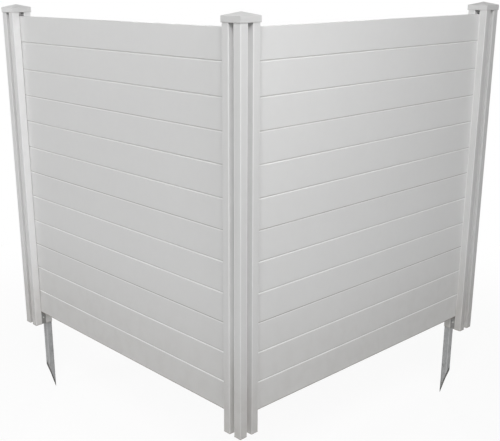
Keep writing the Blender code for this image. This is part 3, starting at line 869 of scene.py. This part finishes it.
for node, vinyl in cap_vinyls.items():
    work = merged_copy(node)
    softened = soften(work, CAP_EDGE, cap_edge(middle_of(node)), segments=3)
    cap = finished(work, node, "moulding", vinyl)
    print(node, softened, "edges softened,", len(cap.data.polygons), "faces")

# %% [markdown]
# ## Spacers and their screws
#
# These small pieces show only from low down or from inside. The block's edges are already eased,
# and the screw's round head only has to shade smoothly.

# %% Make the spacers and screws
for label in ("left_outer", "left_corner", "right_corner", "right_outer"):
    finished(merged_copy(f"{label}_spacer"), f"{label}_spacer", "block", spacer_vinyl)
    finished(merged_copy(f"{label}_spacer_screw"), f"{label}_spacer_screw", "thread", screw_steel)
    print(label, "spacer and its screw made")

# %% [markdown]
# ## Stakes
#
# A stake is a rolled steel angle, sawn to a long slant at its foot. Rolling leaves every long edge
# slightly round, so the upright edges get a small bevel. The saw cut keeps its crisp edge.

# %% Make the stakes
ROLLED_EDGE = 0.0005


def upright_edge(edge):
    """A sharp edge that runs up the stake."""
    first, second = edge.verts
    upright = (first.co - second.co).to_2d().length < SAME_PLACE
    return upright and edge.calc_face_angle(0) > CREASE


for node, zinc in stake_zincs.items():
    work = merged_copy(node)
    rounded = soften(work, ROLLED_EDGE, upright_edge, segments=2)
    stake = finished(work, node, "angle", zinc)
    print(node, rounded, "edges rounded,", len(stake.data.polygons), "faces")

# %% [markdown]
# ## The studio
#
# The floor is a plain pale sheet just under the stakes' points. The picture's ground is pure
# white, which more lamp light would only reach by bleaching the object. So the camera's own rays,
# and those that a shiny piece mirrors or a clear one lets through, see the sheet and the world as
# white at strength 1. Every other ray meets a plain pale floor and a dim even sky. A share of real
# shading stays in the sheet near the object, so its soft shadow still lies there.

# %% The floor's finish
WHITE = (1, 1, 1, 1)
FLOOR_PALE = (0.80, 0.80, 0.80, 1)
FLOOR_GAP = 0.0006
FLOOR_MIDDLE = Vector((-0.6, 0.6, stake_tip - FLOOR_GAP))
SHADOW_SHARE = 0.10
SHADOW_REACH = 2.6


def seen_directly(finish):
    """1 for the rays that should meet plain white: straight, mirrored or passed through."""
    straight = finish.node("LightPath", output="Is Camera Ray")
    mirrored = finish.node("LightPath", output="Is Glossy Ray")
    passed = finish.node("LightPath", output="Is Transmission Ray")
    return straight + mirrored + passed


floor_finish = Finish("studio_floor")
spread = floor_finish.node("VectorMath", {0: floor_finish.place, 1: FLOOR_MIDDLE},
                           output="Value", operation="DISTANCE")
shadow_share = SHADOW_SHARE * floor_finish.step(spread, SHADOW_REACH, SHADOW_REACH / 2)
pale = floor_finish.node("BsdfDiffuse", {"Color": FLOOR_PALE})
shaded_white = floor_finish.node("BsdfDiffuse", {"Color": WHITE})
plain_white = floor_finish.node("Emission", {"Color": WHITE, "Strength": 1.0})
seen_white = floor_finish.node("MixShader", {0: shadow_share, 1: plain_white, 2: shaded_white})
floor_finish.plug(
    floor_finish.node("MixShader", {0: seen_directly(floor_finish), 1: pale, 2: seen_white}),
    floor_finish.output.inputs["Surface"])
print("floor finish:", len(floor_finish.tree.nodes), "nodes")

# %% [markdown]
# The sheet is a wide disc, so that it has no corner to show in any view. The world uses the same
# rays: white where it is seen, and dim where it lights.

# %% Floor and world
FLOOR_RADIUS = 9.0
FLOOR_SIDES = 96
WORLD_LEVEL = 0.10

work = bmesh.new()
bmesh.ops.create_circle(work, cap_ends=True, segments=FLOOR_SIDES, radius=FLOOR_RADIUS)
bmesh.ops.translate(work, verts=work.verts, vec=FLOOR_MIDDLE)
data = bpy.data.meshes.new("studio_floor")
work.to_mesh(data)
work.free()
data.materials.append(floor_finish.material)
floor = bpy.data.objects.new("studio_floor", data)
bpy.context.scene.collection.objects.link(floor)

sky = Finish("studio_world", bpy.data.worlds, "OutputWorld")
strength = sky.maths("MULTIPLY_ADD", seen_directly(sky), 1.0 - WORLD_LEVEL, WORLD_LEVEL)
sky.plug(sky.node("Background", {"Color": WHITE, "Strength": strength}),
         sky.output.inputs["Surface"])
bpy.context.scene.world = sky.material
print("floor", FLOOR_RADIUS, "m in radius, world level", WORLD_LEVEL)

# %% [markdown]
# ## Lamps
#
# Five large soft lamps stand in for the studio's boxes. The key hangs high in front of the corner
# and lights both walls, more at the top than at the foot. A second faces the left wall from its
# outer end, and two weaker ones face the right wall, the nearer of them at its corner end, so that
# the wall fades outwards. The last stands low behind and keeps the inner faces readable. It has to
# be low: from higher up the cap's roof would mirror it straight at the camera and vanish in it.
# Large areas give soft shadows, and their power is chosen so that a colour renders about as it is
# written.

# %% Hang the lamps
LAMPS = {
    "key": {
        "place": (2.2, -2.2, 3.8), "target": (-0.3, 0.3, 0.7), "size": 1.6, "watts": 93.0},
    "left_wall": {
        "place": (-1.7, -2.7, 2.2), "target": (-0.8, 0.0, 0.7), "size": 1.2, "watts": 32.6},
    "right_wall": {
        "place": (2.6, -0.6, 2.2), "target": (0.0, 0.6, 0.7), "size": 1.2, "watts": 6.5},
    "near_right": {
        "place": (1.5, -0.1, 1.8), "target": (0.0, 0.6, 0.7), "size": 0.8, "watts": 10.3},
    "behind": {
        "place": (-2.4, 2.4, 0.9), "target": (-0.4, 0.4, 0.6), "size": 1.6, "watts": 52.0},
}


def hang(name, place, target, size, watts):
    """Hang one square area lamp that faces its target."""
    lamp = bpy.data.lights.new(name, "AREA")
    lamp.size = size
    lamp.energy = watts
    holder = bpy.data.objects.new(name, lamp)
    holder.location = place
    holder.rotation_euler = (Vector(target) - Vector(place)).to_track_quat("-Z", "Y").to_euler()
    holder.visible_camera = False
    bpy.context.scene.collection.objects.link(holder)


for name, settings in LAMPS.items():
    hang(name, **settings)
    print(name, settings["watts"], "W")

# %% [markdown]
# ## Colours as they are written
#
# The Standard view shows colours without a film curve, so a grey in the vinyl stays that grey.

# %% View and the end
bpy.context.scene.view_settings.view_transform = "Standard"
